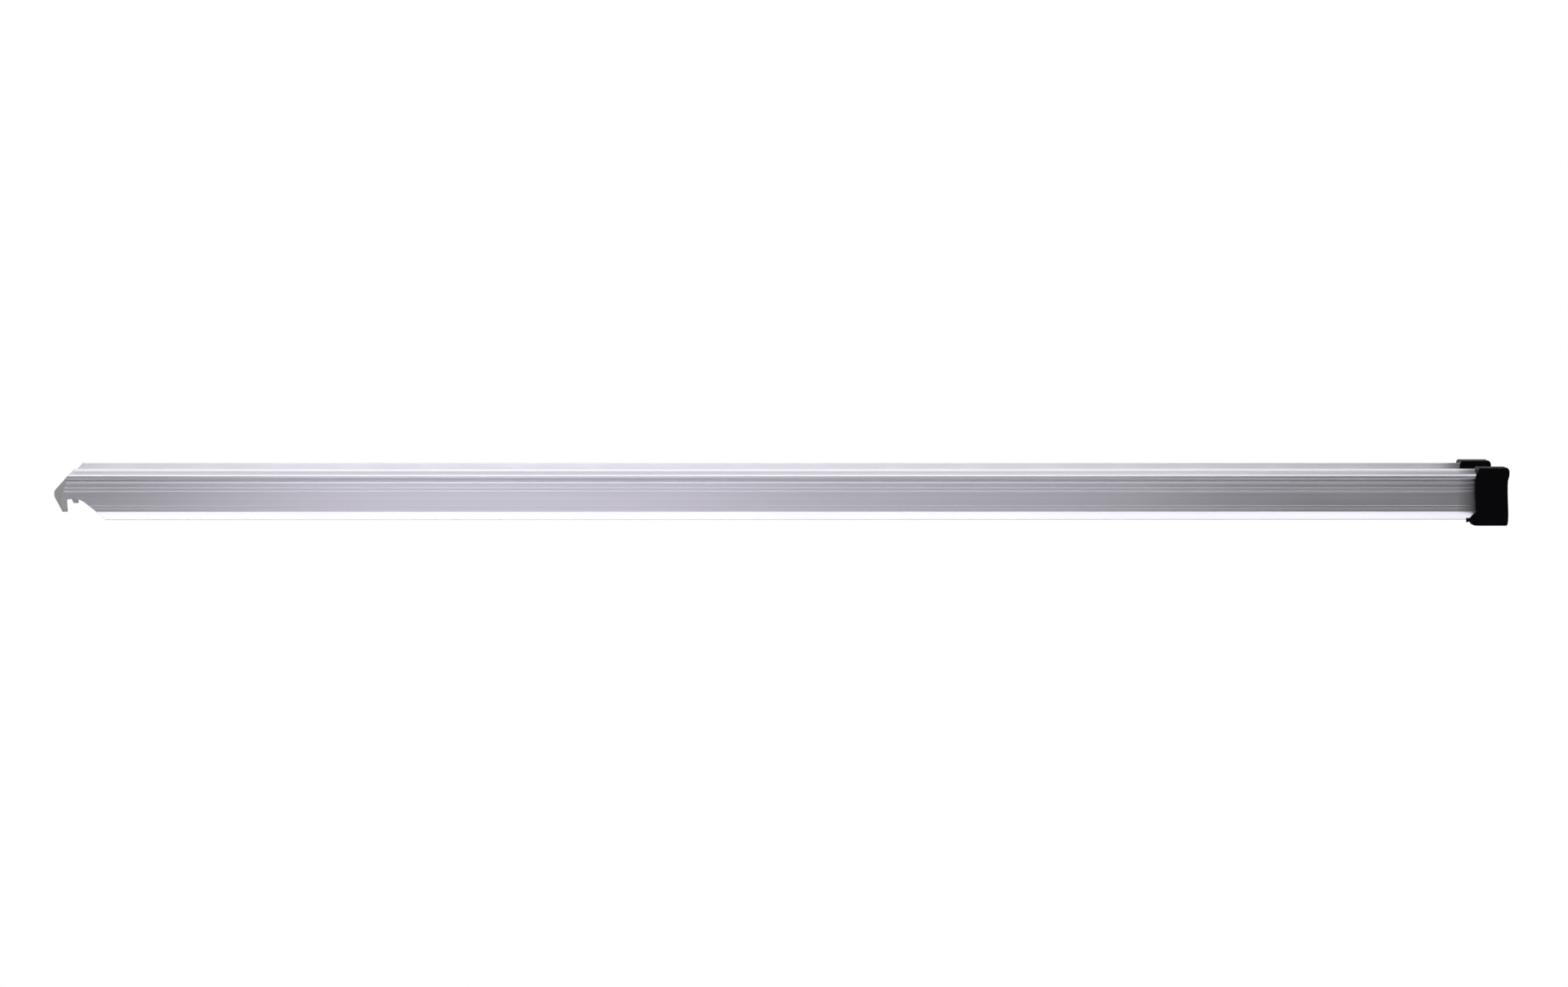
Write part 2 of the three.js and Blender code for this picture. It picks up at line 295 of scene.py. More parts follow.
def noise(tree, place, scale, detail=3.0, turn=(0, 0, 0)):
    """Noise whose features are 1 / scale metres long in each direction."""
    mapped = node(tree, "Mapping", {"Vector": place, "Scale": scale, "Rotation": turn})
    made = node(tree, "TexNoise", {"Vector": mapped.outputs["Vector"], "Scale": 1.0, "Detail": detail})
    return made.outputs["Fac"]


def remap(tree, value, low, high, to_low, to_high):
    made = node(tree, "MapRange", {
        "Value": value, "From Min": low, "From Max": high, "To Min": to_low, "To Max": to_high})
    return made.outputs["Result"]


def blend(tree, factor, first, second):
    made = node(tree, "Mix", data_type="RGBA")
    for index, value in ((0, factor), (6, first), (7, second)):
        if isinstance(value, bpy.types.NodeSocket):
            tree.links.new(value, made.inputs[index])
        else:
            made.inputs[index].default_value = value
    return made.outputs[2]


def calculate(tree, operation, first, second):
    return node(tree, "Math", {0: first, 1: second}, operation=operation).outputs["Value"]


def relief(tree, height, distance, strength, normal=None):
    inputs = {"Height": height, "Distance": distance, "Strength": strength}
    if normal is not None:
        inputs["Normal"] = normal
    return node(tree, "Bump", inputs).outputs["Normal"]


def rail_filing_and_painted_shade(tree, place):
    """Where the web is filed, at the hook's nose, and painted shade that darkens the web towards the shoe's
    mouth, where the shoe shades it.
    Neither reaches the bead and the toe, which stand out from the web."""
    axes = node(tree, "SeparateXYZ", {"Vector": place})
    out = calculate(tree, "ABSOLUTE", axes.outputs["Y"], 0.0)
    recessed = remap(tree, out, (WEB_FACE + 0.6) * MM, (WEB_FACE + 2.0) * MM, 1.0, 0.0)
    lean = calculate(tree, "MULTIPLY", axes.outputs["Z"], -0.15)
    from_nose = calculate(tree, "ADD", axes.outputs["X"], lean)
    filed = remap(tree, from_nose, (NOSE + 3.0) * MM, (NOSE + 9.0) * MM, 1.0, 0.0)
    # painted shade: the web is darkened towards the shoe's mouth, where the shoe shades it
    painted_shade_at_mouth = remap(tree, axes.outputs["X"], (MOUTH - 23) * MM, (MOUTH + 1) * MM, 0.0, 0.82)
    return calculate(tree, "MULTIPLY", filed, recessed), calculate(tree, "MULTIPLY", painted_shade_at_mouth, recessed)


def extruded_aluminium(name, axis, light, dark, smooth, rough, rail=False):
    """Mill-finish aluminium: fine lines along the extrusion, faint smears and stray scratches. A rail is also
    filed grey at its nose and darkened with painted shade towards the shoe's mouth, where the shoe shades it."""
    material, tree, shader, place = new_material(name)
    shader.inputs["Metallic"].default_value = 1.0
    shader.inputs["Anisotropic"].default_value = 0.55
    tangent = node(tree, "Tangent", direction_type="RADIAL", axis=axis)
    tree.links.new(tangent.outputs["Tangent"], shader.inputs["Tangent"])

    def lines(length, width):
        return tuple(1 / (length if name == axis else width) for name in "XYZ")

    hair = noise(tree, place, lines(5.0, 0.0005), 3.0)
    band = noise(tree, place, lines(30.0, 0.0026), 2.0)
    smear = noise(tree, place, (6, 20, 20), 3.0)
    scratch = noise(tree, place, (40, 900, 2200), 2.0, turn=(0.1, 0.12, 0.1))
    scratched = remap(tree, scratch, 0.72, 0.78, 0.0, 1.0)
    banded = remap(tree, band, 0.3, 0.7, 0.0, 0.7)
    tone = calculate(tree, "ADD", banded, remap(tree, hair, 0.3, 0.7, 0.0, 0.3))
    colour = blend(tree, scratched, blend(tree, tone, dark, light), light)
    drawn = remap(tree, hair, 0.25, 0.75, smooth, rough)
    gloss = calculate(tree, "ADD", drawn, remap(tree, smear, 0.35, 0.7, -0.01, 0.02))
    gloss = calculate(tree, "SUBTRACT", gloss, calculate(tree, "MULTIPLY", scratched, 0.05))
    if rail:
        filed, painted_shade_at_mouth = rail_filing_and_painted_shade(tree, place)
        colour = blend(tree, filed, colour, (0.56, 0.56, 0.55, 1))
        # painted shade near the shoe's mouth, blended over the metal's colour
        colour = blend(tree, painted_shade_at_mouth, colour, (0.22, 0.22, 0.23, 1))
        gloss = calculate(tree, "ADD", gloss, calculate(tree, "MULTIPLY", filed, 0.08))
    tree.links.new(colour, shader.inputs["Base Color"])
    tree.links.new(gloss, shader.inputs["Roughness"])
    bump = relief(tree, hair, 0.00002, 0.5)
    bump = relief(tree, scratched, 0.00002, 0.35, bump)
    tree.links.new(bump, shader.inputs["Normal"])
    return material


def sawn_aluminium(name):
    """The cut faces of the hook: neutral grey with close, slightly wavy saw and file marks."""
    material, tree, shader, place = new_material(name)
    shader.inputs["Metallic"].default_value = 1.0
    marks = noise(tree, place, (900, 60, 900), 3.0)
    coarse = noise(tree, place, (220, 30, 220), 2.0)
    colour = blend(tree, coarse, (0.42, 0.42, 0.415, 1), (0.56, 0.56, 0.56, 1))
    tree.links.new(colour, shader.inputs["Base Color"])
    tree.links.new(remap(tree, marks, 0.3, 0.7, 0.36, 0.56), shader.inputs["Roughness"])
    bump = relief(tree, marks, 0.00005, 0.5)
    tree.links.new(relief(tree, coarse, 0.0001, 0.3, bump), shader.inputs["Normal"])
    return material


def moulded_rubber(name):
    """Black moulded rubber: a fine pebbled skin, nearly without sheen, and a little dust."""
    material, tree, shader, place = new_material(name)
    shader.inputs["Specular IOR Level"].default_value = 0.03
    pebble = noise(tree, place, (1500, 1500, 1500), 3.0)
    patch = noise(tree, place, (45, 45, 45), 4.0)
    dust = noise(tree, place, (260, 260, 260), 6.0)
    speck = remap(tree, dust, 0.66, 0.74, 0.0, 0.35)
    base = blend(tree, patch, (0.0012, 0.0012, 0.0018, 1), (0.0024, 0.0024, 0.0032, 1))
    tree.links.new(blend(tree, speck, base, (0.009, 0.0088, 0.0085, 1)), shader.inputs["Base Color"])
    worn = remap(tree, patch, 0.3, 0.7, 0.52, 0.62)
    roughness = calculate(tree, "ADD", worn, remap(tree, pebble, 0.3, 0.7, 0.0, 0.08))
    tree.links.new(roughness, shader.inputs["Roughness"])
    bump = relief(tree, pebble, 0.00004, 0.45)
    tree.links.new(relief(tree, patch, 0.0002, 0.15, bump), shader.inputs["Normal"])
    return material


def weld_metal(name):
    """Weld beads: bright cast metal with a dulled, speckled skin."""
    material, tree, shader, place = new_material(name)
    shader.inputs["Metallic"].default_value = 1.0
    grain = noise(tree, place, (1400, 1400, 1400), 3.0)
    soot = noise(tree, place, (160, 160, 160), 5.0)
    dulled = remap(tree, soot, 0.4, 0.7, 0.0, 1.0)
    colour = blend(tree, dulled, (0.68, 0.68, 0.69, 1), (0.42, 0.41, 0.4, 1))
    tree.links.new(colour, shader.inputs["Base Color"])
    tree.links.new(remap(tree, soot, 0.35, 0.7, 0.24, 0.5), shader.inputs["Roughness"])
    tree.links.new(relief(tree, grain, 0.00005, 0.4), shader.inputs["Normal"])
    return material


def zinc_plate(name):
    """Zinc-plated steel, with a faint warm and cool drift and fine tool marks."""
    material, tree, shader, place = new_material(name)
    shader.inputs["Metallic"].default_value = 1.0
    drift = noise(tree, place, (180, 180, 180), 3.0)
    marks = noise(tree, place, (2600, 2600, 600), 3.0)
    colour = blend(tree, drift, (0.60, 0.58, 0.52, 1), (0.56, 0.60, 0.66, 1))
    tree.links.new(colour, shader.inputs["Base Color"])
    tree.links.new(remap(tree, marks, 0.3, 0.7, 0.2, 0.36), shader.inputs["Roughness"])
    tree.links.new(relief(tree, marks, 0.00003, 0.4), shader.inputs["Normal"])
    return material


rail_metal = extruded_aluminium(
    "rail_aluminium", "X", (0.815, 0.806, 0.875, 1), (0.735, 0.726, 0.795, 1), 0.30, 0.37, rail=True)
rung_metal = extruded_aluminium(
    "rung_aluminium", "Y", (0.82, 0.82, 0.83, 1), (0.72, 0.72, 0.74, 1), 0.28, 0.42)
cut_metal = sawn_aluminium("sawn_aluminium")
rubber = moulded_rubber("shoe_rubber")
bead_metal = weld_metal("weld_bead")
plated = zinc_plate("screw_steel")


# ---- Side rails ----

TOE_TOP = 0.7
TOE_ROOT = 10.5  # where the sloping toe meets the web
FLANGE = 3.5
BEAD_REACH = 7
RIDGE_TOP = 68.6
LIP_FOOT = 58.5
LIP_BACK = 20.5  # the lip's outer face, inwards from the web's outer face
TOP_UNDERSIDE = 60
# Each rib's lower and upper edge, how proud it stands, and how much less at its upper edge
RIBS = [(37.2, 39.4, 0.35, 0.02), (41.6, 44.2, 0.45, 0.04), (48.6, 52.8, 0.9, 0.2)]
RIB_SLOPE = 0.5
GROOVES = [15.2, 19.0]
GROOVE_HALF, GROOVE_DEPTH = 0.3, 0.15


def rail_section():
    """A C, open inwards: its toe, grooves and ribs, the bead, the top's slope, a ridge on a small step,
    the lip that hangs inside, and then the inner faces of the top, the web and the bottom flange."""
    corners = [
        (-INNER_REACH, 0, 0.6), (TOE_REACH, 0, 0.25), (TOE_REACH, TOE_TOP, 0.5), (0, TOE_ROOT, 1.2),
    ]
    for v in GROOVES:
        corners += [(0, v - GROOVE_HALF, 0.15), (-GROOVE_DEPTH, v, 0.1), (0, v + GROOVE_HALF, 0.15)]
    for low, high, proud, fall in RIBS:
        corners += [(0, low, 0.2), (proud, low + RIB_SLOPE, 0.25),
                    (proud - fall, high - RIB_SLOPE, 0.25), (0, high, 0.2)]
    corners += [
        (0, 55.8, 1.8), (BEAD_REACH, 55.9, 1.6), (BEAD_REACH, 61.9, 2.4),
        (-16.9, 65.5, 0.2), (-17.1, 66.8, 0.2), (-19.0, 68.4, 0.5), (-20.2, RIDGE_TOP, 0.5),
        (-22, RIDGE_TOP, 1.1), (-INNER_REACH, LIP_FOOT, 0.3), (-LIP_BACK, LIP_FOOT, 0.3),
        (-LIP_BACK, TOP_UNDERSIDE, 0.4), (-WEB, TOP_UNDERSIDE, 3), (-WEB, FLANGE, 2.5),
        (-INNER_REACH, FLANGE, 0.5),
    ]
    return rounded(corners)


# The hook, as seen from the side, with x measured from the nose
BEVEL_ANGLE = math.radians(48)
BEVEL_TOP = 25.6  # where the bevel meets the rail's top
NOSE_RADIUS = 7
TAIL_LEAN = math.radians(27.7)  # the tail's outer edge, from upright
TAIL_TIP = 10.8  # the height of the tail's tip
TAIL_OUTER = 10.5  # the tail's outer edge, at the tip
TAIL_INNER = 17  # where the notch's arc ends, on the tail's inner side
TAIL_TIP_INNER = 18.2  # the tail's inner edge, at the tip
TAIL_ROUND = 1.2
NOTCH_RADIUS = 26
NOTCH_X, NOTCH_V = 25.7, 2.5
FLANK_ANGLE = math.radians(38.5)
OVERRUN = 5  # how far the outline runs past the section, above and below
NOSE_STEPS, TAIL_STEPS, NOTCH_STEPS = 10, 6, 24
HOLE_RADIUS = 2.7  # round the screws' shanks, in the rail and in the shoe
EASED_EDGE = 0.3


def arc(centre_x, centre_v, radius, start, end, steps):
    points = []
    for k in range(steps + 1):
        angle = start + (end - start) * k / steps
        points.append((centre_x + radius * math.cos(angle), centre_v + radius * math.sin(angle)))
    return points


def hook_outline():
    """The rail from the side: bevel, rounded nose, leaning tail, notch and flank."""
    nose_x = NOSE + NOSE_RADIUS
    nose_high = (RAIL_HEIGHT - (BEVEL_TOP - NOSE_RADIUS) * math.tan(BEVEL_ANGLE)
                 - NOSE_RADIUS / math.cos(BEVEL_ANGLE))
    nose_low = TAIL_TIP + TAIL_ROUND + (
        NOSE_RADIUS * (1 - math.cos(TAIL_LEAN)) + TAIL_OUTER * math.cos(TAIL_LEAN)) / math.sin(TAIL_LEAN)
    notch_x = NOSE + NOTCH_X
    flank_x = notch_x + NOTCH_RADIUS * math.sin(FLANK_ANGLE)
    flank_v = NOTCH_V + NOTCH_RADIUS * math.cos(FLANK_ANGLE)
    notch_start = math.acos((TAIL_INNER - NOTCH_X) / NOTCH_RADIUS)
    above = RAIL_HEIGHT + OVERRUN
    below = -OVERRUN
    slope = math.tan(FLANK_ANGLE)
    points = [(flank_x + (flank_v - below) / slope, below), (RAIL_END, below), (RAIL_END, above)]
    points.append((NOSE + BEVEL_TOP + (above - RAIL_HEIGHT) / math.tan(BEVEL_ANGLE), above))
    points += arc(nose_x, nose_high, NOSE_RADIUS, math.pi / 2 + BEVEL_ANGLE, math.pi, NOSE_STEPS)
    points += arc(nose_x, nose_low, NOSE_RADIUS, math.pi, math.pi + TAIL_LEAN, TAIL_STEPS)
    outer_x, inner_x = NOSE + TAIL_OUTER + TAIL_ROUND, NOSE + TAIL_TIP_INNER - TAIL_ROUND
    tip_v = TAIL_TIP + TAIL_ROUND
    points += arc(outer_x, tip_v, TAIL_ROUND, math.pi, 1.5 * math.pi, TAIL_STEPS)
    points += arc(inner_x, tip_v, TAIL_ROUND, -math.pi / 2, 0, TAIL_STEPS)
    points += arc(notch_x, NOTCH_V, NOTCH_RADIUS, notch_start, math.pi / 2 - FLANK_ANGLE, NOTCH_STEPS)
    return points


def build_rail():
    """The extrusion, cut to the hook's outline and drilled for the shoe's screws."""
    both = (rail_metal, cut_metal)
    rail = prism("side_rail_right_body", rail_section(), NOSE - 2, RAIL_END + 2, along, both)
    # The web is plain at the hook's tail: its two grooves are filled there
    plain = [(NOSE - 3, 8), (NOSE + 22, 8), (NOSE + 22, 24), (NOSE - 3, 24)]
    combine(rail, prism("plain", plain, WEB_FACE - 1, WEB_FACE, across, both), "UNION")
    outline = prism("outline", hook_outline(), WEB_FACE - 60, WEB_FACE + 40, across, both, slot=CUT)
    combine(rail, outline, "INTERSECT")
    # The web is smooth round the nose: the ribs end short of it
    land = [(NOSE - 5, 5), (NOSE + 12, 5), (NOSE + 12, 33), (NOSE + 17.5, 55.2), (NOSE - 5, 55.2)]
    combine(rail, prism("land", land, WEB_FACE - 0.02, WEB_FACE + 4, across, both))
    for name in screw_names:
        low, high = (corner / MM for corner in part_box(name))
        centre = (low + high) / 2
        hole = rounded([(centre.x + HOLE_RADIUS * a, centre.y + HOLE_RADIUS * b, HOLE_RADIUS)
                        for a, b in ((1, 1), (-1, 1), (-1, -1), (1, -1))])
        combine(rail, prism("hole", hole, RAIL_FLOOR - 3, RAIL_FLOOR + 6, upright, both, slot=CUT))
    ease_cuts(rail, EASED_EDGE)
    finish_surface(rail)
    return rail


right_rail = build_rail()
left_rail = mirrored(right_rail, "side_rail_left_body")
finish_surface(left_rail)
settle(right_rail, "rail_aluminium", "side_rail_right")
settle(left_rail, "rail_aluminium", "side_rail_left")


# ---- Shoes ----

# For each level: height, outer reach, how far the mouth stands back from the shoe's start, and how far
# the end stands back from its far end
SHOE_LEVELS = [
    (-8.5, 11.8, 4.2, 3.4), (-7.0, 12.7, 2.9, 2.0), (-3.5, 12.5, 2.9, 1.3), (3.0, 11.5, 3.3, 0.8),
    (12.0, 11.4, 3.3, 0.8), (33.0, 11.4, 1.9, 2.0), (50.0, 11.4, 1.6, 2.0), (55.0, 11.5, 1.5, 1.7),
    (58.6, 12.9, 1.3, 0.5), (61.0, 13.0, 1.2, 0.1), (66.6, 13.0, 1.2, 0.0), (68.0, 13.0, 1.2, 0.1),
    (71.0, 12.9, 2.6, 1.9), (71.5, 12.4, 3.8, 2.5),
]
SHOE_INNER = -27.0
# For each station of the tongue: its place from the mouth, its lower and its upper surface
TONGUE_STATIONS = [
    (-11.6, -3.3, 2.2), (-11.3, -3.6, 2.4), (-9.8, -3.5, 2.2), (-7.0, -2.6, 2.2), (-4.4, -2.9, 4.0),
    (-3.4, -6.0, 5.6), (-0.8, -8.3, 7.8), (3.0, -8.4, 9.9), (8.0, -8.4, 9.9),
]
SUPPORT = 1.3  # from an edge to the control points that keep it crisp when it is subdivided
# How much further the mouth stands back: outside above the roll, inside from the roll's foot up, and
# inside once more above the roll
ROLL_TOP, ROLL_FOOT = 66, 55.5
OUTER_SET_BACK, INNER_SET_BACK, TOP_SET_BACK = 3.1, 2.9, 0.5
# The tongue's tip is cut on the skew: its inner side reaches less far by this share
TONGUE_SKEW = 0.5
SUBDIVISIONS = 3
POCKET_GAP = 0.4
# The sole's grooves: their places from the shoe's start, then their half widths under the sole and at
# the bed, and the bed's height over the rail's floor
SOLE_GROOVES = (7.0, 25.0, 41.5)
GROOVE_OPEN, GROOVE_BED, GROOVE_BED_V = 1.6, 1.0, -7.1
WELL_RADIUS, WELL_TOP = 4.8, 3.8  # round the screws' heads


def shoe_body(materials):
    """The block: its first columns are counted from the inner side and its first lengths from the
    mouth, and the others back from the outer side and from the end."""
    lengths = (0.0, SUPPORT, 12.0, 24.0, 36.0, -SUPPORT, 0.0)
    columns = (0.0, SUPPORT, 20.0, -SUPPORT, 0.0)
    inner_columns, mouth_lengths = 3, 5

    def place(i, j, k):
        v, reach, mouth, end = SHOE_LEVELS[j]
        column = columns[i]
        from_inner = i < inner_columns
        u = SHOE_INNER + column if from_inner else reach + column
        if from_inner and j in (0, len(SHOE_LEVELS) - 1) and i == 0:
            u += SUPPORT
        if v > ROLL_TOP and not from_inner:
            mouth += OUTER_SET_BACK
        if v > ROLL_FOOT and from_inner:
            mouth += INNER_SET_BACK + (TOP_SET_BACK if v > ROLL_TOP else 0)
        x = MOUTH + mouth + lengths[k] if k < mouth_lengths else SHOE_END - end + lengths[k]
        return along(u, v, x)

    body = lattice("end_shoe_right_body", (len(columns), len(SHOE_LEVELS), len(lengths)), place, materials)
    subdivide(body, SUBDIVISIONS)
    return body


def shoe_tongue(materials):
    """The tongue under the rail, a flat bar that runs on into the shoe's foot."""
    columns = (-21.0, -20.0, -4.0, 10.4, 11.0)
    shares = (0.0, 0.1, 0.9, 1.0)

    def place(i, j, k):
        station, low, high = TONGUE_STATIONS[k]
        inwards = (columns[-1] - columns[i]) / (columns[-1] - columns[0])
        x = MOUTH + station * (1 - TONGUE_SKEW * inwards)
        return along(columns[i], low + (high - low) * shares[j], x)

    tongue = lattice("tongue", (len(columns), len(shares), len(TONGUE_STATIONS)), place, materials)
    subdivide(tongue, SUBDIVISIONS)
    return tongue


def pocket_section():
    """The hollow that takes the rail's end, close round the rail's outer faces."""
    inner, outer, floor = -INNER_REACH - POCKET_GAP, TOE_REACH + POCKET_GAP, -POCKET_GAP
    ceiling = RIDGE_TOP + POCKET_GAP
    return rounded([
        (inner, floor, 0.3), (outer, floor, 0.3), (outer, 1.9, 0.5), (1.3, 12.0, 1.0), (1.3, 55.1, 1.5),
        (outer, 55.4, 1.0), (outer, 62.9, 1.5), (-16.4, 66.3, 0.3), (-16.6, 67.3, 0.3),
        (-18.6, ceiling, 0.5), (inner, ceiling, 0.5),
    ])


def build_shoe():
    """The block and its tongue, with the rail's pocket, the sole's grooves and the screws' wells cut."""
    both = (rubber, rubber)
    shoe = shoe_body(both)
    combine(shoe, shoe_tongue(both), "UNION")
    pocket_end = RAIL_END + POCKET_GAP
    combine(shoe, prism("pocket", pocket_section(), MOUTH - 30, pocket_end, along, both, slot=CUT))
    for offset in SOLE_GROOVES:
        x = MOUTH + offset
        groove = [(x - GROOVE_OPEN, -12), (x + GROOVE_OPEN, -12),
                  (x + GROOVE_BED, GROOVE_BED_V), (x - GROOVE_BED, GROOVE_BED_V)]
        combine(shoe, prism("groove", groove, WEB_FACE - 23, WEB_FACE + 8, across, both, slot=CUT))
    for name in screw_names:
        low, high = (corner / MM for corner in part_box(name))
        centre = (low + high) / 2
        for radius, top in ((HOLE_RADIUS, RAIL_FLOOR + 1), (WELL_RADIUS, WELL_TOP)):
            ring = arc(centre.x, centre.y, radius, 0, 2 * math.pi, 32)[:-1]
            combine(shoe, prism("well", ring, -1, top, upright, both, slot=CUT))
    ease_cuts(shoe, EASED_EDGE)
    finish_surface(shoe)
    return shoe


right_shoe = build_shoe()
left_shoe = mirrored(right_shoe, "end_shoe_left_body")
finish_surface(left_shoe)
settle(right_shoe, "shoe_rubber", "end_shoe_right")
settle(left_shoe, "shoe_rubber", "end_shoe_left")


# ---- Rungs ----

RUNG_WALL = 2.4
TOOTH_COUNT = 5
TOOTH_HEIGHT = 2.0
TOOTH_ROOT = RUNG_HEIGHT - TOOTH_HEIGHT
ROOT_ROUND = 0.12  # the height over the root up to which the teeth's foot is left as it is
RUNG_CORNER = 1.5
# The nicks across the teeth: how many, what share of a tooth they take, and their half widths
NICK_COUNT = 19
NICK_DEPTH = 0.6
NICK_TOP, NICK_BOTTOM = 1.5, 0.6


def rung_section():
    """A box with a row of blunt teeth on top, round its own middle and up from its own foot."""
    half = RUNG_WIDTH / 2
    pitch = (RUNG_WIDTH - 2 * RUNG_CORNER) / TOOTH_COUNT
    corners = [(-half, 0, 1.5), (half, 0, 1.5), (half, TOOTH_ROOT, 1.2)]
    for i in range(TOOTH_COUNT):
        start = half - RUNG_CORNER - i * pitch
        top = TOOTH_ROOT + TOOTH_HEIGHT
        corners += [(start - pitch * 0.06, TOOTH_ROOT, 0.3), (start - pitch * 0.36, top, 0.3),
                    (start - pitch * 0.64, top, 0.3), (start - pitch * 0.94, TOOTH_ROOT, 0.3)]
    corners.append((-half, TOOTH_ROOT, 1.2))
    return rounded(corners, math.radians(30))


def build_rung():
    """The section run across the ramp, its teeth nicked at even steps, and then bored through."""
    spacing = 2 * RUNG_END / (NICK_COUNT + 1)
    stations = [(-RUNG_END, 1.0)]
    for k in range(NICK_COUNT):
        centre = -RUNG_END + (k + 1) * spacing
        stations += [(centre - NICK_TOP, 1.0), (centre - NICK_BOTTOM, 1 - NICK_DEPTH),
                     (centre + NICK_BOTTOM, 1 - NICK_DEPTH), (centre + NICK_TOP, 1.0)]
    stations.append((RUNG_END, 1.0))
    section = rung_section()
    rings = []
    for y, tooth in stations:
        ring = []
        for a, b in section:
            height = b if b <= TOOTH_ROOT + ROOT_ROUND else TOOTH_ROOT + (b - TOOTH_ROOT) * tooth
            ring.append((a, y, height))
        rings.append(ring)
    rung = loft("rung_body", rings, (rung_metal,))
    half, top = RUNG_WIDTH / 2 - RUNG_WALL, TOOTH_ROOT - RUNG_WALL
    hollow = rounded([(-half, RUNG_WALL, 1), (half, RUNG_WALL, 1), (half, top, 1), (-half, top, 1)])
    bore = prism("hollow", hollow, -RUNG_END - 2, RUNG_END + 2, lambda a, b, c: (a, c, b), (rung_metal,))
    combine(rung, bore)
    return rung


pattern = build_rung()
for name in rung_names:
    low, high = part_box(name)
    mesh = pattern.data.copy()
    for vertex in mesh.vertices:
        vertex.co += Vector(((low.x + high.x) / 2, 0, low.z))
    rung = link(name + "_body", mesh)
    finish_surface(rung)
    settle(rung, "rung_aluminium", name)
bpy.data.objects.remove(pattern)


# ---- Weld beads ----

BEAD_LEG = 4.2
RIPPLE = 2.1
RIPPLE_SKEW = 0.9
PATH_STEP = 0.5
FILLET_STEPS = 6
BURIED = 0.6  # how deep the bead's root lies inside the rung


def bead_path():
    """Points and outward directions round a rung's section, evenly spaced."""
    half = RUNG_WIDTH / 2
    top = RUNG_HEIGHT - TOOTH_HEIGHT * 0.4
    corners = [(-half, 0, 2.5), (half, 0, 2.5), (half, top, 2.5), (-half, top, 2.5)]
    outline = rounded(corners, math.radians(10))
    closed = outline + [outline[0]]
    lengths = [(b - a).length for a, b in zip(closed, closed[1:])]
    total = sum(lengths)
    count = round(total / PATH_STEP)
    path = []
    edge, passed = 0, 0.0
    for k in range(count):
        target = total * k / count
        while passed + lengths[edge] < target:
            passed += lengths[edge]
            edge += 1
        share = (target - passed) / max(lengths[edge], 1e-9)
        point = closed[edge].lerp(closed[edge + 1], share)
        step = closed[edge + 1] - closed[edge]
        path.append((point, Vector((step.y, -step.x)).normalized(), target))
    return path, total


def build_bead(name, x, z, sign, phase):
    """A fillet of overlapping ripples between a rung's end and the web's inner face."""
    path, total = bead_path()
    ripples = round(total / RIPPLE)
    web_inner = WEB_FACE - WEB
    rings = []
    for point, out, distance in path:
        ring = [(point - out * BURIED, web_inner + 0.25)]
        for k in range(FILLET_STEPS + 1):
            angle = math.pi / 2 * k / FILLET_STEPS
            skew = RIPPLE_SKEW * math.sin(2 * angle)
            wave = abs(math.sin(math.pi * (ripples * distance / total + phase + skew / RIPPLE)))
            slow, quick = math.sin(distance * 0.37 + phase * 9), math.sin(distance * 0.91)
            leg = BEAD_LEG * (1 + 0.05 * slow + 0.03 * quick)
            bulge = 1 - 0.16 * math.sin(2 * angle)
            reach = leg * bulge * (0.93 + 0.07 * wave)
            ring.append((point + out * (reach * math.cos(angle)), web_inner + 0.15 - reach * math.sin(angle)))
        ring.append((point - out * BURIED, web_inner - BEAD_LEG * 0.8))
        rings.append([(x + p.x, sign * y, z + p.y) for p, y in ring])
    size = len(rings[0])
    points = [p for ring in rings for p in ring]
    faces = []
    for k in range(len(rings)):
        following = (k + 1) % len(rings)
        for i in range(size):
            j = (i + 1) % size
            faces.append((k * size + i, k * size + j, following * size + j, following * size + i))
    bead = solid(name, points, faces, (bead_metal,))
    finish_surface(bead, 50)
    return settle(bead, "rung_aluminium")


for number, name in enumerate(rung_names):
    low, high = (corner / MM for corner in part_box(name))
    for side, sign in SIDES.items():
        phase = (number * 0.37 + (sign + 1) * 0.21) % 1
        build_bead(f"weld_{side}_{name[-2:]}", (low.x + high.x) / 2, low.z, sign, phase)


# ---- Screws ----

AROUND = 32
HEAD_SEAT = 3.5  # the height of the head's upper face
HEAD_RADIUS, SHANK_RADIUS = 4.5, 2.05
THREAD_DEPTH, THREAD_PITCH = 0.42, 1.4
THREAD_STEPS = 84
POINT_LENGTH, POINT_RADIUS = 3.2, 0.12
RECESS_HALF_LENGTH, RECESS_HALF_FOOT, RECESS_HALF_WIDTH = 2.3, 0.9, 0.55


def screw_profile(low, high):
    """Rings of (radius, height), from the head's crown to the point, with the thread wound round."""
    rings = []
    for radius, z in ((0.4, low), (2.6, low + 0.05), (3.7, low + 0.4), (4.25, low + 1.0),
                      (HEAD_RADIUS, low + 1.7), (HEAD_RADIUS, HEAD_SEAT - 0.15),
                      (HEAD_RADIUS - 0.15, HEAD_SEAT), (SHANK_RADIUS, HEAD_SEAT)):
        rings.append([(radius, z)] * AROUND)
    for k in range(THREAD_STEPS + 1):
        z = HEAD_SEAT + 0.4 + (high - HEAD_SEAT - 0.5) * k / THREAD_STEPS
        taper = min(1.0, (high - z) / POINT_LENGTH)
        ring = []
        for i in range(AROUND):
            turns = (z - HEAD_SEAT) / THREAD_PITCH - i / AROUND
            tooth = max(0.0, 1 - 3.2 * abs(turns % 1 - 0.5))
            ring.append((max(POINT_RADIUS, (SHANK_RADIUS + THREAD_DEPTH * tooth) * taper), z))
        rings.append(ring)
    return rings


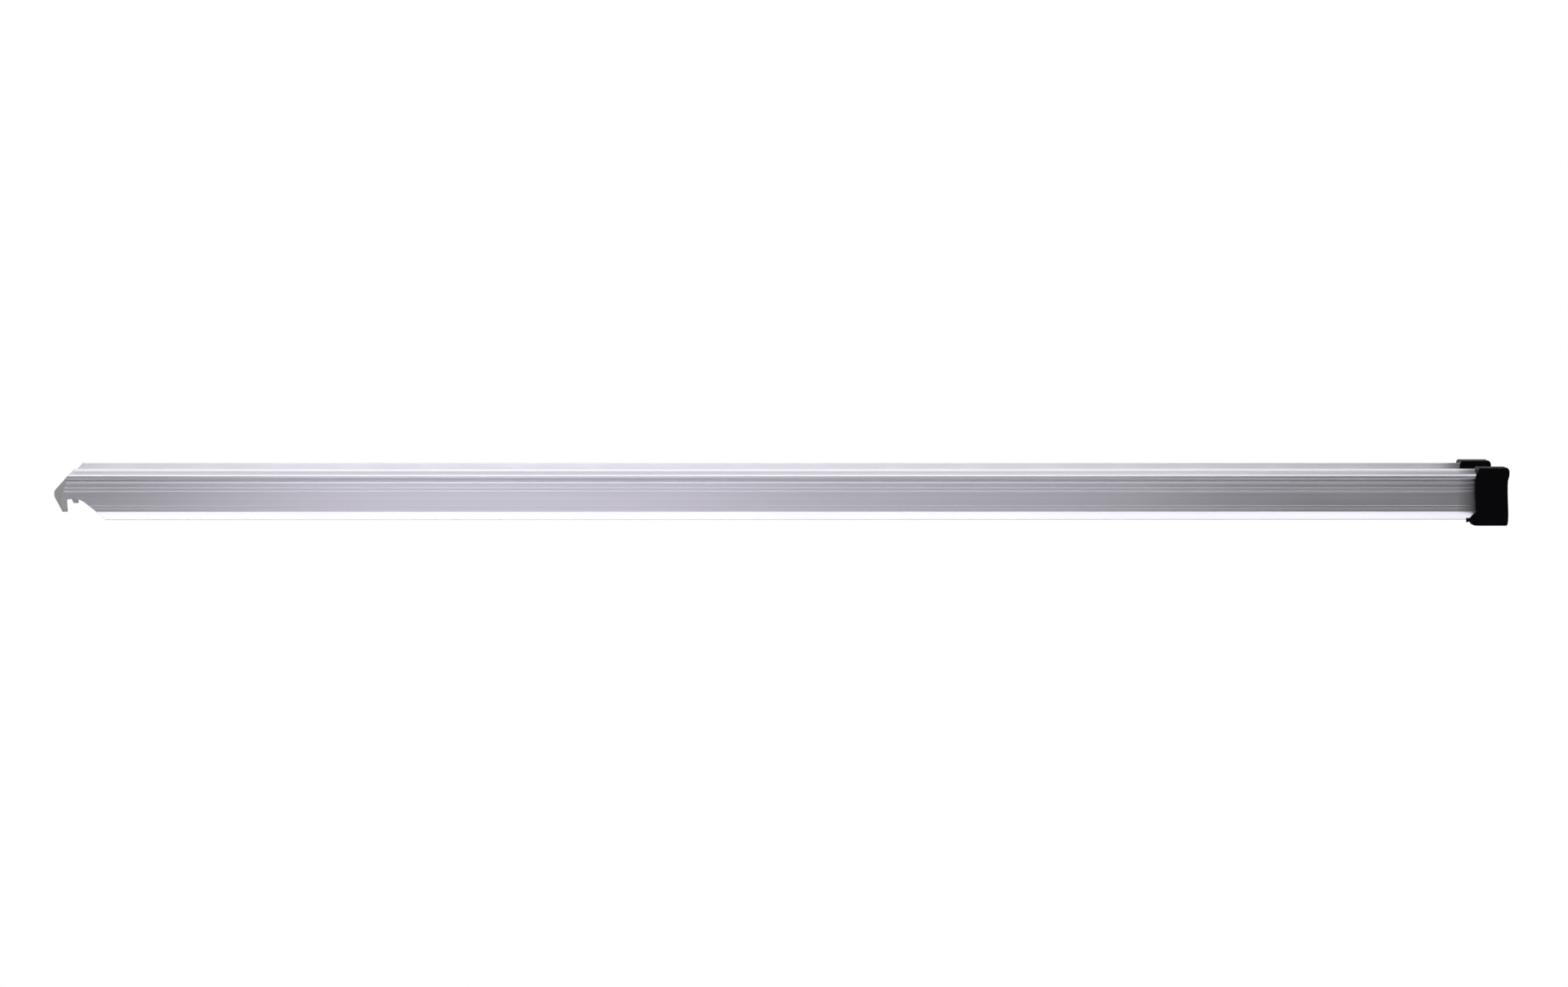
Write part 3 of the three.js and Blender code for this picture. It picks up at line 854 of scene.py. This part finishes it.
def build_screw(name, x, y, low, high):
    """A pan-head screw, head down, with a rolled thread, a point and a cross recess."""
    placed = []
    for ring in screw_profile(low, high):
        points = []
        for i, (radius, z) in enumerate(ring):
            angle = 2 * math.pi * i / AROUND
            points.append((x + radius * math.cos(angle), y + radius * math.sin(angle), z))
        placed.append(points)
    screw = loft(name + "_body", placed, (plated, plated))
    foot, bottom = low + 0.3, low + 1.6
    blade = [(-RECESS_HALF_LENGTH, low - 1), (RECESS_HALF_LENGTH, low - 1), (RECESS_HALF_LENGTH, foot),
             (RECESS_HALF_FOOT, bottom), (-RECESS_HALF_FOOT, bottom), (-RECESS_HALF_LENGTH, foot)]
    for turn in (0, math.pi / 2):
        cosine, sine = math.cos(turn), math.sin(turn)

        def place(a, z, c):
            return (x + a * cosine - c * sine, y + a * sine + c * cosine, z)

        recess = prism("recess", blade, -RECESS_HALF_WIDTH, RECESS_HALF_WIDTH, place,
                       (plated, plated), slot=CUT)
        combine(screw, recess)
    finish_surface(screw, 40)
    return settle(screw, "screw_steel", name)


for side in SIDES:
    for name in screw_names:
        node_name = name.replace("right", side)
        low, high = (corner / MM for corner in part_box(node_name))
        build_screw(node_name, (low.x + high.x) / 2, (low.y + high.y) / 2, low.z, high.z)


# ---- Camera, floor and light ----

def aim(thing, target):
    thing.rotation_euler = (Vector(target) - thing.location).to_track_quat("-Z", "Y").to_euler()


CAMERA_PLACE = (-0.279, -7.839, 0.571)
CAMERA_TARGET = (-0.0009, -0.094, 0.0447)
CAMERA_LENS, SENSOR_WIDTH = 129.83, 36  # millimetres
LEVELLING_ROLL = 0.131  # degrees, so that the rails lie level in the picture


def add_camera():
    data = bpy.data.cameras.new("camera")
    data.sensor_width = SENSOR_WIDTH
    data.lens = CAMERA_LENS
    data.clip_end = 60
    camera = bpy.data.objects.new("camera", data)
    camera.location = CAMERA_PLACE
    aim(camera, CAMERA_TARGET)
    camera.rotation_euler.rotate_axis("Z", math.radians(LEVELLING_ROLL))
    bpy.context.scene.collection.objects.link(camera)
    bpy.context.scene.camera = camera


def add_area(name, location, target, width, height, power, colour=(1, 1, 1)):
    data = bpy.data.lights.new(name, "AREA")
    data.shape = "RECTANGLE"
    data.size = width
    data.size_y = height
    data.energy = power
    data.color = colour
    light = bpy.data.objects.new(name, data)
    light.location = location
    aim(light, target)
    light.visible_camera = False
    bpy.context.scene.collection.objects.link(light)


def add_floor():
    """A plain white floor, seen from above only, that reflections on the metal don't pick up."""
    reach = 30
    corners = [(-reach, -reach, 0), (reach, -reach, 0), (reach, reach, 0), (-reach, reach, 0)]
    mesh = bpy.data.meshes.new("floor")
    mesh.from_pydata(corners, [], [(0, 1, 2, 3)])
    material = bpy.data.materials.new("floor")
    material.use_nodes = True
    tree = material.node_tree
    tree.nodes.clear()
    glow = node(tree, "Emission", {"Color": (1, 1, 1, 1), "Strength": 1.0})
    clear = node(tree, "BsdfTransparent")
    below = node(tree, "NewGeometry").outputs["Backfacing"]
    mix = node(tree, "MixShader", {0: below, 1: glow.outputs[0], 2: clear.outputs[0]})
    node(tree, "OutputMaterial", {"Surface": mix.outputs[0]})
    floor = link("floor", mesh, (material,))
    floor.location.z = cad_low.z - 0.0005
    floor.visible_glossy = False


WARM = (1.0, 0.985, 0.95)
COOL = (0.93, 0.90, 1.0)


def sky_ramp(tree, height, levels):
    """Brightness against height, from (height, brightness) pairs; height runs from -1 to 1."""
    ramp = node(tree, "ValToRGB", {"Fac": remap(tree, height, -1, 1, 0, 1)})
    elements = ramp.color_ramp.elements
    while len(elements) > 1:
        elements.remove(elements[-1])
    for number, (at, level) in enumerate(levels):
        element = elements[0] if number == 0 else elements.new((at + 1) / 2)
        element.position = (at + 1) / 2
        element.color = (level, level, level, 1)
    return ramp.outputs["Color"]


def add_world():
    """White to the camera. To everything else, a studio that is dim behind the camera and bright
    behind the ramp and overhead."""
    world = bpy.data.worlds.new("studio")
    world.use_nodes = True
    tree = world.node_tree
    tree.nodes.clear()
    direction = node(tree, "TexCoord").outputs["Generated"]
    axes = node(tree, "SeparateXYZ", {"Vector": direction})
    front = sky_ramp(tree, axes.outputs["Z"], [
        (-1, 0.9), (-0.35, 0.03), (0.12, 0.03), (0.4, 0.9), (0.7, 0.2), (1, 1.4)])
    back = sky_ramp(tree, axes.outputs["Z"], [
        (-1, 0.9), (-0.35, 0.4), (-0.05, 0.5), (0.02, 2.1), (0.14, 2.1), (0.32, 0.3), (0.8, 0.4), (1, 1.0)])
    behind = remap(tree, axes.outputs["Y"], -0.35, 0.35, 0, 1)
    warm = node(tree, "Mix", {6: back, 7: (*WARM, 1)}, data_type="RGBA", blend_type="MULTIPLY")
    warm.inputs[0].default_value = 1.0
    glow = node(tree, "Background", {"Color": blend(tree, behind, front, warm.outputs[2]), "Strength": 1.0})
    white = node(tree, "Background", {"Color": (1, 1, 1, 1), "Strength": 1.0})
    camera_ray = node(tree, "LightPath").outputs["Is Camera Ray"]
    mix = node(tree, "MixShader", {0: camera_ray, 1: glow.outputs[0], 2: white.outputs[0]})
    node(tree, "OutputWorld", {"Surface": mix.outputs[0]})
    bpy.context.scene.world = world


add_camera()
add_floor()
add_world()
add_area("front_low_left", (-0.45, -2.0, 0.12), (-0.45, 0, 0.04), 0.9, 0.3, 2.0, COOL)
add_area("front_low_right", (0.25, -2.0, 0.12), (0.25, 0, 0.04), 0.9, 0.3, 0.9, COOL)
add_area("front_middle", (-0.25, -2.0, 0.7), (-0.25, 0, 0.04), 3.0, 0.6, 5.3, WARM)
add_area("front_high", (-0.5, -2.0, 1.4), (-0.5, 0, 0.04), 2.4, 0.6, 5.8)
add_area("overhead", (0, -0.6, 1.8), (0, 0, 0.04), 3.0, 0.9, 5.35)
add_area("back_middle", (-0.2, 2.0, 0.6), (-0.2, 0, 0.04), 2.2, 0.6, 5.2, WARM)
add_area("back_high", (0, 2.0, 1.5), (0, 0, 0.04), 2.4, 0.6, 3.1, WARM)
bpy.context.scene.view_settings.view_transform = "Standard"
